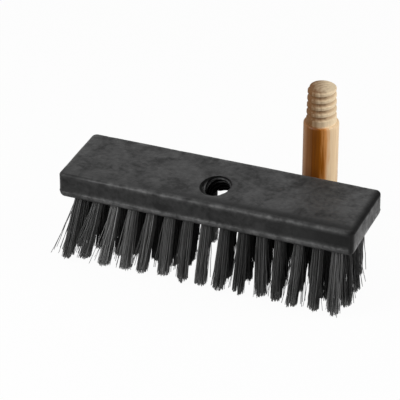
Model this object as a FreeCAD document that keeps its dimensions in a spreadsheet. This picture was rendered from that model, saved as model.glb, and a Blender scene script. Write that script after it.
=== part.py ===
import FreeCAD, Part
import Sketcher

import math
import os

# A scrub brush head: a moulded block with a slanting threaded socket for a handle, rows of
# filament tufts folded over flat metal anchors in blind sockets, and the threaded end of a
# wooden handle that stands loose behind it.
# Origin: middle of the socket's mouth on the top face. +X runs along the block, -Y is the
# front that the handle leans to, +Z is up. The bristle tips stand on a floor below.

SIZES = [
    ("block_length", 203.2, "moulded block, end to end"),
    ("block_width", 58.6, "moulded block, front to back"),
    ("block_thickness", 18.0, "moulded block, top face to underside"),
    ("corner_radius", 4.0, "upright corners of the block"),
    ("top_edge_radius", 2.2, "round of the top edge"),
    ("lower_edge_radius", 3.8, "round of the lower edge"),
    ("socket_forward", 6.0, "mouth of the handle socket, in front of the block's middle line"),
    ("handle_lean", 40.0, "socket axis from upright, towards the front, degrees"),
    ("thread_diameter", 19.05, "outside of the handle's thread, at its tip"),
    ("thread_clearance", 0.2, "handle thread to socket wall, on the radius"),
    ("column_count", 15, "tufts along the block"),
    ("row_count", 4, "tufts across the block"),
    ("end_margin", 12.7, "end of the block to the end columns"),
    ("side_margin", 8.3, "front and back of the block to the outer rows"),
    ("length_fan", 8.0, "outward lean of the end columns, degrees"),
    ("width_fan", 5.0, "outward lean of the outer rows, degrees"),
    ("socket_diameter", 6.4, "blind tuft socket"),
    ("socket_depth", 11.0, "blind tuft socket"),
    ("socket_wall", 0.4, "least wall between a tuft socket and the handle socket"),
    ("tuft_clearance", 0.1, "tuft to its socket, on the radius"),
    ("fold_gap", 0.3, "folded end of the tuft to the socket's bottom"),
    ("fold_depth", 2.2, "filaments above the anchor"),
    ("trim_length", 49.5, "underside of the block to the bristle tips"),
    ("tip_diameter", 9.4, "tuft at its trimmed end"),
    ("strand_count", 5, "strands that a tuft splits into"),
    ("split_length", 32.0, "splits between the strands, up from the tips"),
    ("split_width", 2.4, "splits between the strands, at the outside of the tips"),
    ("split_core", 0.8, "middle of the tuft that the splits leave whole, radius at the tips"),
    ("split_turn", 137.5, "turn of the splits from one tuft to the next, degrees"),
    ("anchor_thickness", 0.5, "flat metal anchor"),
    ("anchor_height", 1.8, "flat metal anchor"),
    ("anchor_bite", 0.9, "anchor end beyond the socket wall"),
    ("anchor_clearance", 0.05, "slot round the anchor"),
    ("handle_diameter", 23.8, "plain part of the handle"),
    ("handle_length", 110.0, "handle end, sawn foot to threaded tip"),
    ("thread_length", 25.4, "threaded part of the handle"),
    ("thread_pitch", 5.08, "ridge to ridge along the handle"),
    ("thread_depth", 1.5, "top of the ridge to the bottom of the groove"),
    ("thread_crest", 1.6, "flat top of the ridge"),
    ("thread_root", 1.1, "flat bottom of the groove"),
    ("thread_land", 1.6, "plain land between the shoulder and the start of the groove"),
    ("thread_start", 110.0, "start of the groove, degrees round from the right"),
    ("tip_chamfer", 1.6, "threaded tip"),
    ("shoulder_step", 1.675, "plain part of the handle in to the foot of its thread, on the radius"),
    ("shoulder_radius", 1.5, "round above the plain part of the handle"),
    ("foot_chamfer", 0.8, "sawn foot of the handle"),
    ("handle_side", 44.5, "handle axis, along the block from its middle"),
    ("handle_behind", 42.7, "handle axis, behind the back face of the block"),
]

# Cutters reach this far past a face that they break through.
OVERRUN = 6.0

# Folded end of a tuft, up its socket from the block's underside.
FOLD_LEVEL = "(Sizes.socket_depth - Sizes.fold_gap)"

# A cut leaves no more than this share of what it cuts.
LEAST_CUT = 0.999

# The thread's cutter is this much taller than the groove that it leaves, as a share of its depth.
THREAD_OVERCUT = 1.3


def make_sheet(doc):
    sheet = doc.addObject("Spreadsheet::Sheet", "Sizes")
    for line, (alias, value, note) in enumerate(SIZES, start=1):
        sheet.set(f"A{line}", note)
        sheet.set(f"B{line}", str(value))
        sheet.setAlias(f"B{line}", alias)
    doc.recompute()
    return sheet


def bind(thing, **expressions):
    for name, expression in expressions.items():
        thing.setExpression(name, expression)
    return thing


def origin_plane(body, role):
    return next(entry for entry in body.Origin.OriginFeatures if entry.Role == role)


def new_sketch(body, role, name):
    sketch = body.newObject("Sketcher::SketchObject", name)
    sketch.AttachmentSupport = [(origin_plane(body, role), "")]
    sketch.MapMode = "FlatFace"
    return sketch


def close_polygon(sketch, corners):
    """Draws straight lines through the corners and joins their ends."""
    vectors = [FreeCAD.Vector(across, along, 0) for across, along in corners]
    count = len(vectors)
    lines = []
    for index in range(count):
        lines.append(sketch.addGeometry(Part.LineSegment(vectors[index], vectors[(index + 1) % count])))
    for index in range(count):
        join = Sketcher.Constraint("Coincident", lines[index], 2, lines[(index + 1) % count], 1)
        sketch.addConstraint(join)
    for index in range(count):
        start, end = vectors[index], vectors[(index + 1) % count]
        if start.y == end.y:
            sketch.addConstraint(Sketcher.Constraint("Horizontal", lines[index]))
        elif start.x == end.x:
            sketch.addConstraint(Sketcher.Constraint("Vertical", lines[index]))
    return lines


def drive(sketch, constraint, name, expression):
    """Adds a dimension to a sketch and binds it to the sheet."""
    number = sketch.addConstraint(constraint)
    sketch.renameConstraint(number, name)
    sketch.setExpression("Constraints." + name, expression)


def edge_names(shape, wanted):
    return [f"Edge{number}" for number, edge in enumerate(shape.Edges, start=1) if wanted(edge)]


def dress(body, kind, name, base, edges, size, expression):
    feature = body.newObject("PartDesign::" + kind, name)
    feature.Base = (base, edges)
    feature.setExpression(size, expression)
    body.Tip = feature
    body.Document.recompute()
    return feature


def make_block_blank(doc, sheet):
    """Block with its rounds and the slanting handle socket."""
    body = doc.addObject("PartDesign::Body", "block_blank")
    outline = new_sketch(body, "XY_Plane", "block_outline")
    half_length = sheet.block_length / 2
    back = sheet.block_width / 2 + sheet.socket_forward
    front = back - sheet.block_width
    corners = [(-half_length, front), (half_length, front), (half_length, back), (-half_length, back)]
    lines = close_polygon(outline, corners)
    distance_x = Sketcher.Constraint("DistanceX", lines[0], 1, lines[0], 2, sheet.block_length)
    distance_y = Sketcher.Constraint("DistanceY", lines[1], 1, lines[1], 2, sheet.block_width)
    left = Sketcher.Constraint("DistanceX", -1, 1, lines[1], 2, half_length)
    rear = Sketcher.Constraint("DistanceY", -1, 1, lines[1], 2, back)
    drive(outline, distance_x, "long_side", "Sizes.block_length")
    drive(outline, distance_y, "short_side", "Sizes.block_width")
    drive(outline, left, "end_from_axis", "Sizes.block_length / 2")
    drive(outline, rear, "back_from_axis", "Sizes.block_width / 2 + Sizes.socket_forward")

    pad = body.newObject("PartDesign::Pad", "block_pad")
    pad.Profile = outline
    pad.Reversed = True
    bind(pad, Length="Sizes.block_thickness")
    doc.recompute()

    def is_upright(edge):
        start, end = edge.Vertexes[0].Point, edge.Vertexes[-1].Point
        return abs(start.z - end.z) > sheet.block_thickness / 2

    def lies_at(level):
        return lambda edge: all(abs(vertex.Z - level) < 1e-6 for vertex in edge.Vertexes)

    upright = edge_names(pad.Shape, is_upright)
    rounded = dress(body, "Fillet", "corner_round", pad, upright, "Radius", "Sizes.corner_radius")
    top = edge_names(rounded.Shape, lies_at(0.0))
    rounded = dress(body, "Fillet", "top_round", rounded, top, "Radius", "Sizes.top_edge_radius")
    under = edge_names(rounded.Shape, lies_at(-sheet.block_thickness))
    dress(body, "Fillet", "lower_round", rounded, under, "Radius", "Sizes.lower_edge_radius")

    mouth = new_sketch(body, "XY_Plane", "socket_circle")
    mouth.setExpression("AttachmentOffset", "placement(vector(0; 0; 0); rotation(0; 0; Sizes.handle_lean))")
    radius = sheet.thread_diameter / 2 + sheet.thread_clearance
    circle = mouth.addGeometry(Part.Circle(FreeCAD.Vector(0, 0, 0), FreeCAD.Vector(0, 0, 1), radius))
    mouth.addConstraint(Sketcher.Constraint("Coincident", circle, 3, -1, 1))
    wall = Sketcher.Constraint("Radius", circle, radius)
    drive(mouth, wall, "socket_radius", "Sizes.thread_diameter / 2 + Sizes.thread_clearance")

    socket = body.newObject("PartDesign::Pocket", "handle_socket")
    socket.Profile = mouth
    socket.Type = "ThroughAll"
    socket.SideType = "Symmetric"
    body.Tip = socket
    doc.recompute()
    return body


def tuft_frame(along, across):
    """Expression for a tuft's own frame: root on the underside, +Z up its socket.

    along and across place the tuft in the pattern, from -1 at one side of it to 1 at the other.
    """
    root_x = f"{along} * (Sizes.block_length / 2 - Sizes.end_margin)"
    root_y = f"{across} * (Sizes.block_width / 2 - Sizes.side_margin) + Sizes.socket_forward"
    lean = f"rotation(0; -Sizes.length_fan * {along}; Sizes.width_fan * {across})"
    return f"placement(vector({root_x}; {root_y}; -Sizes.block_thickness); {lean})"


def in_tuft(frame, across, along, up):
    """Expression for a place inside a tuft's own frame."""
    return f"{frame} * placement(vector({across}; {along}; {up}); rotation(0; 0; 0))"


def socket_is_clear(sheet, along, across):
    """True where a tuft socket leaves a wall to the handle socket."""
    lean = FreeCAD.Rotation(0, -sheet.length_fan * along, sheet.width_fan * across)
    up_the_tuft = lean.multVec(FreeCAD.Vector(0, 0, 1))
    root = FreeCAD.Vector(
        along * (sheet.block_length / 2 - sheet.end_margin),
        across * (sheet.block_width / 2 - sheet.side_margin) + sheet.socket_forward,
        -sheet.block_thickness,
    )
    lean = math.radians(sheet.handle_lean)
    up_the_handle = FreeCAD.Vector(0, -math.sin(lean), math.cos(lean))
    steps = 40
    nearest = min(
        (root + up_the_tuft * (sheet.socket_depth * step / steps)).cross(up_the_handle).Length
        for step in range(steps + 1)
    )
    handle_socket_radius = sheet.thread_diameter / 2 + sheet.thread_clearance
    return nearest - handle_socket_radius - sheet.socket_diameter / 2 >= sheet.socket_wall


def box(doc, name, length, width, height, frame, up):
    """Box centred on the tuft's axis, standing on a level of the tuft's frame."""
    solid = doc.addObject("Part::Box", name)
    bind(solid, Length=length, Width=width, Height=height)
    solid.setExpression("Placement", in_tuft(frame, f"-({length}) / 2", f"-({width}) / 2", up))
    return solid


def make_bundle(doc, sheet):
    """Untrimmed tuft in its own frame: a stem for the socket and a flare that splits into strands."""
    stem_radius = "(Sizes.socket_diameter / 2 - Sizes.tuft_clearance)"
    tip_radius = "Sizes.tip_diameter / 2"
    spread = f"({tip_radius} - {stem_radius}) / Sizes.trim_length"

    stem = doc.addObject("Part::Cylinder", "stem")
    bind(stem, Radius=stem_radius, Height=FOLD_LEVEL)

    # The flare is long enough to reach the floor at any lean.
    flare = doc.addObject("Part::Cone", "flare")
    reach = "(Sizes.trim_length + Sizes.tip_diameter)"
    bind(flare, Radius2=stem_radius, Height=reach, Radius1=f"{stem_radius} + {reach} * {spread}")
    flare.setExpression("Placement", f"placement(vector(0; 0; -{reach}); rotation(0; 0; 0))")

    whole = doc.addObject("Part::Fuse", "whole_bundle")
    whole.Base = stem
    whole.Tool = flare

    # Each split is a wedge whose edge runs from the flare's surface to near its axis at the tips.
    start_radius = f"({stem_radius} + (Sizes.trim_length - Sizes.split_length) * {spread})"
    slope = f"atan(({start_radius} - Sizes.split_core) / Sizes.split_length)"
    depth = f"({tip_radius} - Sizes.split_core)"
    splits = []
    for number in range(int(sheet.strand_count)):
        split = doc.addObject("Part::Wedge", f"split_{number + 1}")
        bind(split, Xmin="-Sizes.split_width", Xmax="Sizes.split_width", Ymin=f"-2 * {depth}", Ymax="0",
             X2min="0", X2max="0", Zmin=f"-{OVERRUN}", Z2min=f"-{OVERRUN}",
             Zmax="2 * Sizes.split_length", Z2max="2 * Sizes.split_length")
        angle = f"{number} * 360 / Sizes.strand_count"
        turn = f"placement(vector(0; 0; -Sizes.trim_length); rotation({angle}; 0; 0))"
        tilt = f"placement(vector(0; -Sizes.split_core; 0); rotation(0; 0; {slope}))"
        split.setExpression("Placement", f"{turn} * {tilt}")
        splits.append(split)
    cutter = doc.addObject("Part::Compound", "splits")
    cutter.Links = splits
    bundle = doc.addObject("Part::Cut", "bundle")
    bundle.Base = whole
    bundle.Tool = cutter
    return bundle


def make_tuft(doc, name, frame, turn, bundle, floor):
    """One folded tuft with its anchor; returns the tuft, the anchor and the cutters for the block."""
    anchor_level = f"{FOLD_LEVEL} - Sizes.fold_depth - Sizes.anchor_height"

    hole = doc.addObject("Part::Cylinder", name + "_socket")
    bind(hole, Radius="Sizes.socket_diameter / 2", Height=f"Sizes.socket_depth + {OVERRUN}")
    hole.setExpression("Placement", in_tuft(frame, 0, 0, -OVERRUN))

    anchor_length = "Sizes.socket_diameter + 2 * Sizes.anchor_bite"
    anchor = box(doc, name + "_anchor", anchor_length, "Sizes.anchor_thickness", "Sizes.anchor_height",
                 frame, anchor_level)
    slot = box(doc, name + "_slot", f"{anchor_length} + 2 * Sizes.anchor_clearance",
               "Sizes.anchor_thickness + 2 * Sizes.anchor_clearance",
               "Sizes.anchor_height + 2 * Sizes.anchor_clearance",
               frame, f"{anchor_level} - Sizes.anchor_clearance")

    copy = doc.addObject("Part::Compound", name + "_bundle")
    copy.Links = [bundle]
    turned = f"placement(vector(0; 0; 0); rotation({turn} * Sizes.split_turn; 0; 0))"
    copy.setExpression("Placement", f"{frame} * {turned}")
    trimmer = doc.addObject("Part::Compound", name + "_trimmer")
    trimmer.Links = [slot, floor]
    tuft = doc.addObject("Part::Cut", name)
    tuft.Base = copy
    tuft.Tool = trimmer
    tuft.Label = name
    return tuft, anchor, [hole, slot]


def make_floor(doc):
    """Everything below the level that the tufts are trimmed to."""
    floor = doc.addObject("Part::Box", "trim_level")
    bind(floor, Length="2 * Sizes.block_length", Width="4 * Sizes.block_width", Height="Sizes.trim_length")
    bottom = "-Sizes.block_thickness - 2 * Sizes.trim_length"
    corner = f"vector(-Sizes.block_length; -2 * Sizes.block_width; {bottom})"
    floor.setExpression("Placement", f"placement({corner}; rotation(0; 0; 0))")
    return floor


def cut_thread(body):
    """Cuts the groove between the turns of the thread, from above the shoulder out past the tip."""
    section = new_sketch(body, "XZ_Plane", "groove_section")
    turned = "placement(vector(0; 0; 0); rotation(0; Sizes.thread_start; 0))"
    section.setExpression("AttachmentOffset", turned)
    mouth = "(Sizes.thread_pitch - Sizes.thread_crest)"
    tip_radius = "Sizes.thread_diameter / 2"
    foot_radius = "(Sizes.handle_diameter / 2 - Sizes.shoulder_step)"
    middle_radius = f"({tip_radius} + {foot_radius}) / 2"
    middle_level = f"(Sizes.handle_length - Sizes.thread_length + Sizes.thread_land + {mouth} / 2)"
    root_radius = f"({middle_radius} - Sizes.thread_depth)"
    root_level = f"({middle_level} - Sizes.thread_root / 2)"
    cutter_depth = f"({THREAD_OVERCUT} * Sizes.thread_depth + abs({foot_radius} - {tip_radius}) / 2)"
    flank_rise = f"(({mouth} - Sizes.thread_root) / 2 * {cutter_depth} / Sizes.thread_depth)"

    inner, deep = section.evalExpression(root_radius), section.evalExpression(cutter_depth)
    low, rise = section.evalExpression(root_level), section.evalExpression(flank_rise)
    high = low + section.evalExpression("Sizes.thread_root")
    corners = [(inner, low), (inner + deep, low - rise), (inner + deep, high + rise), (inner, high)]
    lower_flank, _, upper_flank, root_line = close_polygon(section, corners)
    section.addConstraint(Sketcher.Constraint("Equal", lower_flank, upper_flank))
    width = Sketcher.Constraint("DistanceY", root_line, 2, root_line, 1, high - low)
    depth = Sketcher.Constraint("DistanceX", lower_flank, 1, lower_flank, 2, deep)
    slant = Sketcher.Constraint("DistanceY", lower_flank, 2, lower_flank, 1, rise)
    radius = Sketcher.Constraint("DistanceX", -1, 1, root_line, 2, inner)
    level = Sketcher.Constraint("DistanceY", -1, 1, root_line, 2, low)
    drive(section, width, "root_width", "Sizes.thread_root")
    drive(section, depth, "cutter_depth", cutter_depth)
    drive(section, slant, "flank_rise", flank_rise)
    drive(section, radius, "root_radius", root_radius)
    drive(section, level, "root_level", root_level)

    groove = body.newObject("PartDesign::SubtractiveHelix", "thread_groove")
    groove.Profile = section
    groove.ReferenceAxis = (section, ["V_Axis"])
    groove.Mode = "pitch-height-angle"
    bind(groove, Pitch="Sizes.thread_pitch", Height="Sizes.thread_length - Sizes.thread_land")
    body.Tip = groove
    body.Document.recompute()


def make_handle(doc, sheet):
    """Threaded end of the handle, standing on its sawn foot."""
    body = doc.addObject("PartDesign::Body", "threaded_handle")
    body.Label = "threaded_handle"
    profile = new_sketch(body, "XZ_Plane", "handle_profile")
    plain = sheet.handle_diameter / 2
    thread = sheet.thread_diameter / 2
    foot = plain - sheet.shoulder_step
    shoulder = sheet.handle_length - sheet.thread_length
    tip = sheet.handle_length
    corners = [(0, 0), (plain, 0), (plain, shoulder), (foot, shoulder), (thread, tip), (0, tip)]
    lines = close_polygon(profile, corners)
    profile.addConstraint(Sketcher.Constraint("Coincident", lines[0], 1, -1, 1))
    plain_size = Sketcher.Constraint("DistanceX", lines[0], 1, lines[0], 2, plain)
    thread_size = Sketcher.Constraint("DistanceX", lines[4], 2, lines[4], 1, thread)
    step_size = Sketcher.Constraint("DistanceX", lines[2], 2, lines[2], 1, sheet.shoulder_step)
    total = Sketcher.Constraint("DistanceY", lines[5], 2, lines[5], 1, tip)
    upper = Sketcher.Constraint("DistanceY", lines[3], 1, lines[3], 2, tip - shoulder)
    drive(profile, plain_size, "plain_radius", "Sizes.handle_diameter / 2")
    drive(profile, thread_size, "thread_radius", "Sizes.thread_diameter / 2")
    drive(profile, step_size, "shoulder_step", "Sizes.shoulder_step")
    drive(profile, total, "total_length", "Sizes.handle_length")
    drive(profile, upper, "thread_length", "Sizes.thread_length")

    turned = body.newObject("PartDesign::Revolution", "handle_turning")
    turned.Profile = profile
    turned.ReferenceAxis = (profile, ["V_Axis"])
    turned.Angle = 360
    body.Tip = turned
    doc.recompute()

    def ring(radius, level):
        def wanted(edge):
            return (
                isinstance(edge.Curve, Part.Circle)
                and abs(edge.Curve.Radius - radius) < 1e-6
                and abs(edge.Curve.Center.z - level) < 1e-6
            )
        return wanted

    edges = edge_names(turned.Shape, ring(thread, tip))
    step = dress(body, "Chamfer", "tip_bevel", turned, edges, "Size", "Sizes.tip_chamfer")
    edges = edge_names(step.Shape, ring(plain, shoulder))
    round_size = "min(Sizes.shoulder_radius; 0.9 * Sizes.shoulder_step)"
    step = dress(body, "Fillet", "shoulder_round", step, edges, "Radius", round_size)
    edges = edge_names(step.Shape, ring(plain, 0.0))
    dress(body, "Chamfer", "foot_bevel", step, edges, "Size", "Sizes.foot_chamfer")
    cut_thread(body)

    behind = "Sizes.socket_forward + Sizes.block_width / 2 + Sizes.handle_behind"
    below = "-Sizes.block_thickness - Sizes.trim_length"
    place = f"placement(vector(Sizes.handle_side; {behind}; {below}); rotation(0; 0; 0))"
    body.setExpression("Placement", place)
    return body


def build():
    doc = FreeCAD.newDocument("scrub_brush")
    sheet = make_sheet(doc)
    blank = make_block_blank(doc, sheet)
    floor = make_floor(doc)
    bundle = make_bundle(doc, sheet)

    rows = int(sheet.row_count)
    columns = int(sheet.column_count)
    tufts, anchors, cutters = [], [], []
    for row in range(rows):
        across = 2 * row / (rows - 1) - 1
        for column in range(columns):
            along = 2 * column / (columns - 1) - 1
            if not socket_is_clear(sheet, along, across):
                continue
            name = f"tuft_r{row + 1}_c{column + 1:02d}"
            turn = row * columns + column
            tuft, anchor, cuts = make_tuft(doc, name, tuft_frame(along, across), turn, bundle, floor)
            tufts.append(tuft)
            anchors.append(anchor)
            cutters.extend(cuts)

    cutter = doc.addObject("Part::Compound", "socket_cutters")
    cutter.Links = cutters
    block = doc.addObject("Part::Cut", "block")
    block.Base = blank
    block.Tool = cutter
    block.Label = "block"

    anchor_set = doc.addObject("Part::Compound", "tuft_anchors")
    anchor_set.Links = anchors
    anchor_set.Label = "tuft_anchors"

    handle = make_handle(doc, sheet)
    doc.recompute()
    return doc, [block, anchor_set, handle] + tufts


def check(doc, pieces):
    for thing in doc.Objects:
        if "Invalid" in thing.State or "Error" in thing.State:
            raise RuntimeError(f"{thing.Name} did not build")
    for piece in pieces:
        if piece.Shape.isNull() or not piece.Shape.isValid() or not piece.Shape.Solids:
            raise RuntimeError(f"{piece.Label} has no valid solid")
    for cut, whole in (("block", "block_blank"), ("bundle", "whole_bundle"), ("thread_groove", "foot_bevel")):
        if doc.getObject(cut).Shape.Volume > LEAST_CUT * doc.getObject(whole).Shape.Volume:
            raise RuntimeError(f"{cut} takes nothing away")


def main():
    doc, pieces = build()
    check(doc, pieces)
    os.makedirs("parts", exist_ok=True)
    for piece in pieces:
        piece.Shape.exportStep(f"parts/{piece.Label}.step")


main()
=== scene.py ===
"""Scrub brush: a moulded block on filament tufts, with the threaded end of its wooden handle."""

import math
import random

import bmesh
import bpy
from bpy.props import FloatProperty, FloatVectorProperty, IntProperty, PointerProperty
from mathutils import Matrix, Vector, noise


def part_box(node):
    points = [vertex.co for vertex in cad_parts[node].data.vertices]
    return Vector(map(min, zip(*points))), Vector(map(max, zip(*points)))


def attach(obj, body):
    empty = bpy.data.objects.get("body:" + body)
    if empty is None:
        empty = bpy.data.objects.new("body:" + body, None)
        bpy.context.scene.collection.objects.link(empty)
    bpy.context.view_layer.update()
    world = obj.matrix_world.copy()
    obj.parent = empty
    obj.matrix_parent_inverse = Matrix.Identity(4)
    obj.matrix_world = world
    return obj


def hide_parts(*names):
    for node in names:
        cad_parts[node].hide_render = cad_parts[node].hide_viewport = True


bl_info = {
    "name": "Scrub Brush",
    "version": (1, 0, 0),
    "blender": (4, 5, 0),
    "location": "View3D > Sidebar > Scrub Brush",
    "description": "Dresses a scrub brush block, its tufts and its loose handle end",
    "category": "Object",
}

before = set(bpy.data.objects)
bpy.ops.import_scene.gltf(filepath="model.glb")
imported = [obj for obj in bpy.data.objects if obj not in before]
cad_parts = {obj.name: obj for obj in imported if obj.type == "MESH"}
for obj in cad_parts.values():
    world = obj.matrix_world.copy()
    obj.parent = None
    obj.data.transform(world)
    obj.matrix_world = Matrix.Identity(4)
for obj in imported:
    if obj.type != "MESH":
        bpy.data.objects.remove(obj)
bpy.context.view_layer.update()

BLOCK_LOW, BLOCK_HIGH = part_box("block")
HANDLE_LOW, HANDLE_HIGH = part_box("threaded_handle")
FLOOR_LEVEL = HANDLE_LOW.z
MM = 0.001

# Points closer than this are the same point.
SAME_POINT = 1e-6

# Facets of the round forms.
CORNER_SEGMENTS = 8
TOP_EDGE_SEGMENTS = 6
LOWER_EDGE_SEGMENTS = 8
SOCKET_SIDES = 96
SOCKET_FACET = 0.4 * MM
HANDLE_SIDES = 88
SHANK_FACET = 6 * MM
SHOULDER_STEPS = 6
THREAD_FACET = 0.36 * MM

# Parting bead of the block: its foot above the lower round, then its parts above or below that foot.
BEAD_ABOVE_ROUND = 0.25 * MM
BEAD_MARGIN = 0.1 * MM
BEAD_MIDDLE = 0.45 * MM
BEAD_TOP = 1.0 * MM
BEAD_FACET = 0.22 * MM
SIDE_START = 1.2 * MM

# Turn of the ridge in the handle socket, as a share of a full turn.
SOCKET_THREAD_TURN = 0.36

# Noise values between which most of the block's mottle lies.
MOTTLE_RANGE = (0.385, 0.615)

# Along the block: where rows behind the front one begin to lean and lean fully, where the inner rows
# stop leaning, and where all rows lean further towards the right end.
COMB_GROWS = (-40 * MM, -8 * MM)
COMB_FADES = (62 * MM, 86 * MM)
END_COMB_GROWS = (20 * MM, 86 * MM)

# Along the block: where painted shade on the filaments begins and where it is full, towards the right end.
PAINTED_SHADE_GROWS = (-70 * MM, 30 * MM)

# Filaments start this far inside the block.
FILAMENT_START = 2.0 * MM

# Sockets of the Mix node when it mixes colours.
MIX_SHARE, MIX_FIRST, MIX_SECOND, MIX_RESULT = 0, 6, 7, 2

FLOOR_GAP = 0.2 * MM
FLOOR_HALF_WIDTH = 6.0
KEY_LIGHT = {"place": (-0.46, -0.47, 0.38), "aim": (0, 0, -0.03), "size": 0.44}
SIDE_LIGHT = {"place": (0.95, 0.14, 0.32), "aim": (0, 0, 0), "size": 0.55}


class BlockSettings(bpy.types.PropertyGroup):
    """Moulded block and its handle socket."""

    corner_radius: FloatProperty(
        name="Corner radius", description="Upright corners of the block",
        default=4.0 * MM, min=0.0005, unit="LENGTH", precision=4)
    top_edge: FloatProperty(
        name="Top edge", description="Round of the top edge",
        default=2.2 * MM, min=0.0005, unit="LENGTH", precision=4)
    lower_edge: FloatProperty(
        name="Lower edge", description="Round of the lower edge",
        default=3.8 * MM, min=0.0005, unit="LENGTH", precision=4)
    facet: FloatProperty(
        name="Facet", description="Spacing of the surface grid that carries the moulded skin",
        default=1.25 * MM, min=0.0005, unit="LENGTH", precision=4)
    parting_bead: FloatProperty(
        name="Parting bead", description="How far the mould's parting line stands out",
        default=0.4 * MM, min=0.0, unit="LENGTH", precision=5)
    skin_relief: FloatProperty(
        name="Skin relief", description="Height of the unevenness of the moulded skin",
        default=0.11 * MM, min=0.0, unit="LENGTH", precision=5)
    socket_radius: FloatProperty(
        name="Socket radius", description="Handle socket at the bottom of its thread",
        default=9.725 * MM, min=0.001, unit="LENGTH", precision=5)
    socket_lean: FloatProperty(
        name="Socket lean", description="Socket axis from upright, towards the front",
        default=math.radians(40), subtype="ANGLE")
    mouth_round: FloatProperty(
        name="Mouth round", description="Widening at the two mouths of the socket",
        default=0.25 * MM, min=0.0, unit="LENGTH", precision=5)
    dark_colour: FloatVectorProperty(
        name="Dark colour", description="Dark patches of the skin", subtype="COLOR",
        default=(0.001, 0.001, 0.001), min=0, max=1)
    light_colour: FloatVectorProperty(
        name="Light colour", description="Light patches of the skin", subtype="COLOR",
        default=(0.030, 0.030, 0.030), min=0, max=1)
    # Pale edges and bead line: partly worn by use, partly painted highlight.
    edge_wear_and_highlight_colour: FloatVectorProperty(
        name="Edge colour", description="Rubbed edges", subtype="COLOR",
        default=(0.30, 0.30, 0.30), min=0, max=1)


class TuftSettings(bpy.types.PropertyGroup):
    """Filament tufts."""

    end_margin: FloatProperty(
        name="End margin", description="End of the block to the end columns",
        default=12.7 * MM, unit="LENGTH", precision=4)
    side_margin: FloatProperty(
        name="Side margin", description="Front and back of the block to the outer rows",
        default=8.3 * MM, unit="LENGTH", precision=4)
    length_fan: FloatProperty(
        name="Length fan", description="Outward lean of the end columns",
        default=math.radians(8), subtype="ANGLE")
    width_fan: FloatProperty(
        name="Width fan", description="Outward lean of the outer rows",
        default=math.radians(5), subtype="ANGLE")
    strands: IntProperty(
        name="Strands", description="Strands that a tuft splits into", default=5, min=2, max=12)
    strand_turn: FloatProperty(
        name="Strand turn", description="Turn of the strands from one tuft to the next",
        default=math.radians(137.5), subtype="ANGLE")
    filaments: IntProperty(
        name="Filaments", description="Filament ends in one tuft", default=132, min=8, max=400)
    thickness: FloatProperty(
        name="Thickness", description="Filament thickness",
        default=0.47 * MM, min=0.0001, unit="LENGTH", precision=5)
    root_radius: FloatProperty(
        name="Root radius", description="Tuft where it leaves the block",
        default=3.1 * MM, unit="LENGTH", precision=4)
    tip_radius: FloatProperty(
        name="Tip radius", description="Tuft at its tips",
        default=4.4 * MM, unit="LENGTH", precision=4)
    tip_round: FloatProperty(
        name="Tip round", description="How much shorter a tuft's outer filaments are than its middle",
        default=2.2 * MM, min=0.0, unit="LENGTH", precision=4)
    clumping: FloatProperty(
        name="Clumping", description="How far the tips draw together into strands",
        default=0.55, min=0, max=1, subtype="FACTOR")
    unruly: FloatProperty(
        name="Unruly", description="Lean of a whole tuft off its socket's line",
        default=math.radians(1.6), subtype="ANGLE")
    combed: FloatVectorProperty(
        name="Combed", description="Lean that use has given each row along the block, front row first",
        size=4, default=[math.radians(angle) for angle in (-3.5, -6.5, 1.5, -5.0)], subtype="EULER")
    end_combed: FloatProperty(
        name="End combed", description="Further lean of all rows towards the right end of the block",
        default=math.radians(-5), subtype="ANGLE")
    corner_lean: FloatProperty(
        name="Corner lean",
        description="Lean of the second row's last tuft, which shows beside the front row",
        default=math.radians(1), subtype="ANGLE")
    stray_share: FloatProperty(
        name="Stray share", description="Share of filaments that stand away from the tuft",
        default=0.06, min=0, max=1, subtype="FACTOR")
    splay: FloatProperty(
        name="Splay", description="How far strays of the end columns stand out beyond the others",
        default=9.0 * MM, unit="LENGTH", precision=4)
    dark_colour: FloatVectorProperty(
        name="Dark colour", description="Darkest filaments", subtype="COLOR",
        default=(0.004, 0.004, 0.004), min=0, max=1)
    light_colour: FloatVectorProperty(
        name="Light colour", description="Lightest filaments", subtype="COLOR",
        default=(0.54, 0.54, 0.535), min=0, max=1)


class AnchorSettings(bpy.types.PropertyGroup):
    """Metal anchors of the tufts."""

    dark_colour: FloatVectorProperty(
        name="Dark colour", description="Dark drawing lines of the strip", subtype="COLOR",
        default=(0.42, 0.42, 0.41), min=0, max=1)
    light_colour: FloatVectorProperty(
        name="Light colour", description="Light drawing lines of the strip", subtype="COLOR",
        default=(0.62, 0.62, 0.60), min=0, max=1)


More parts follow.
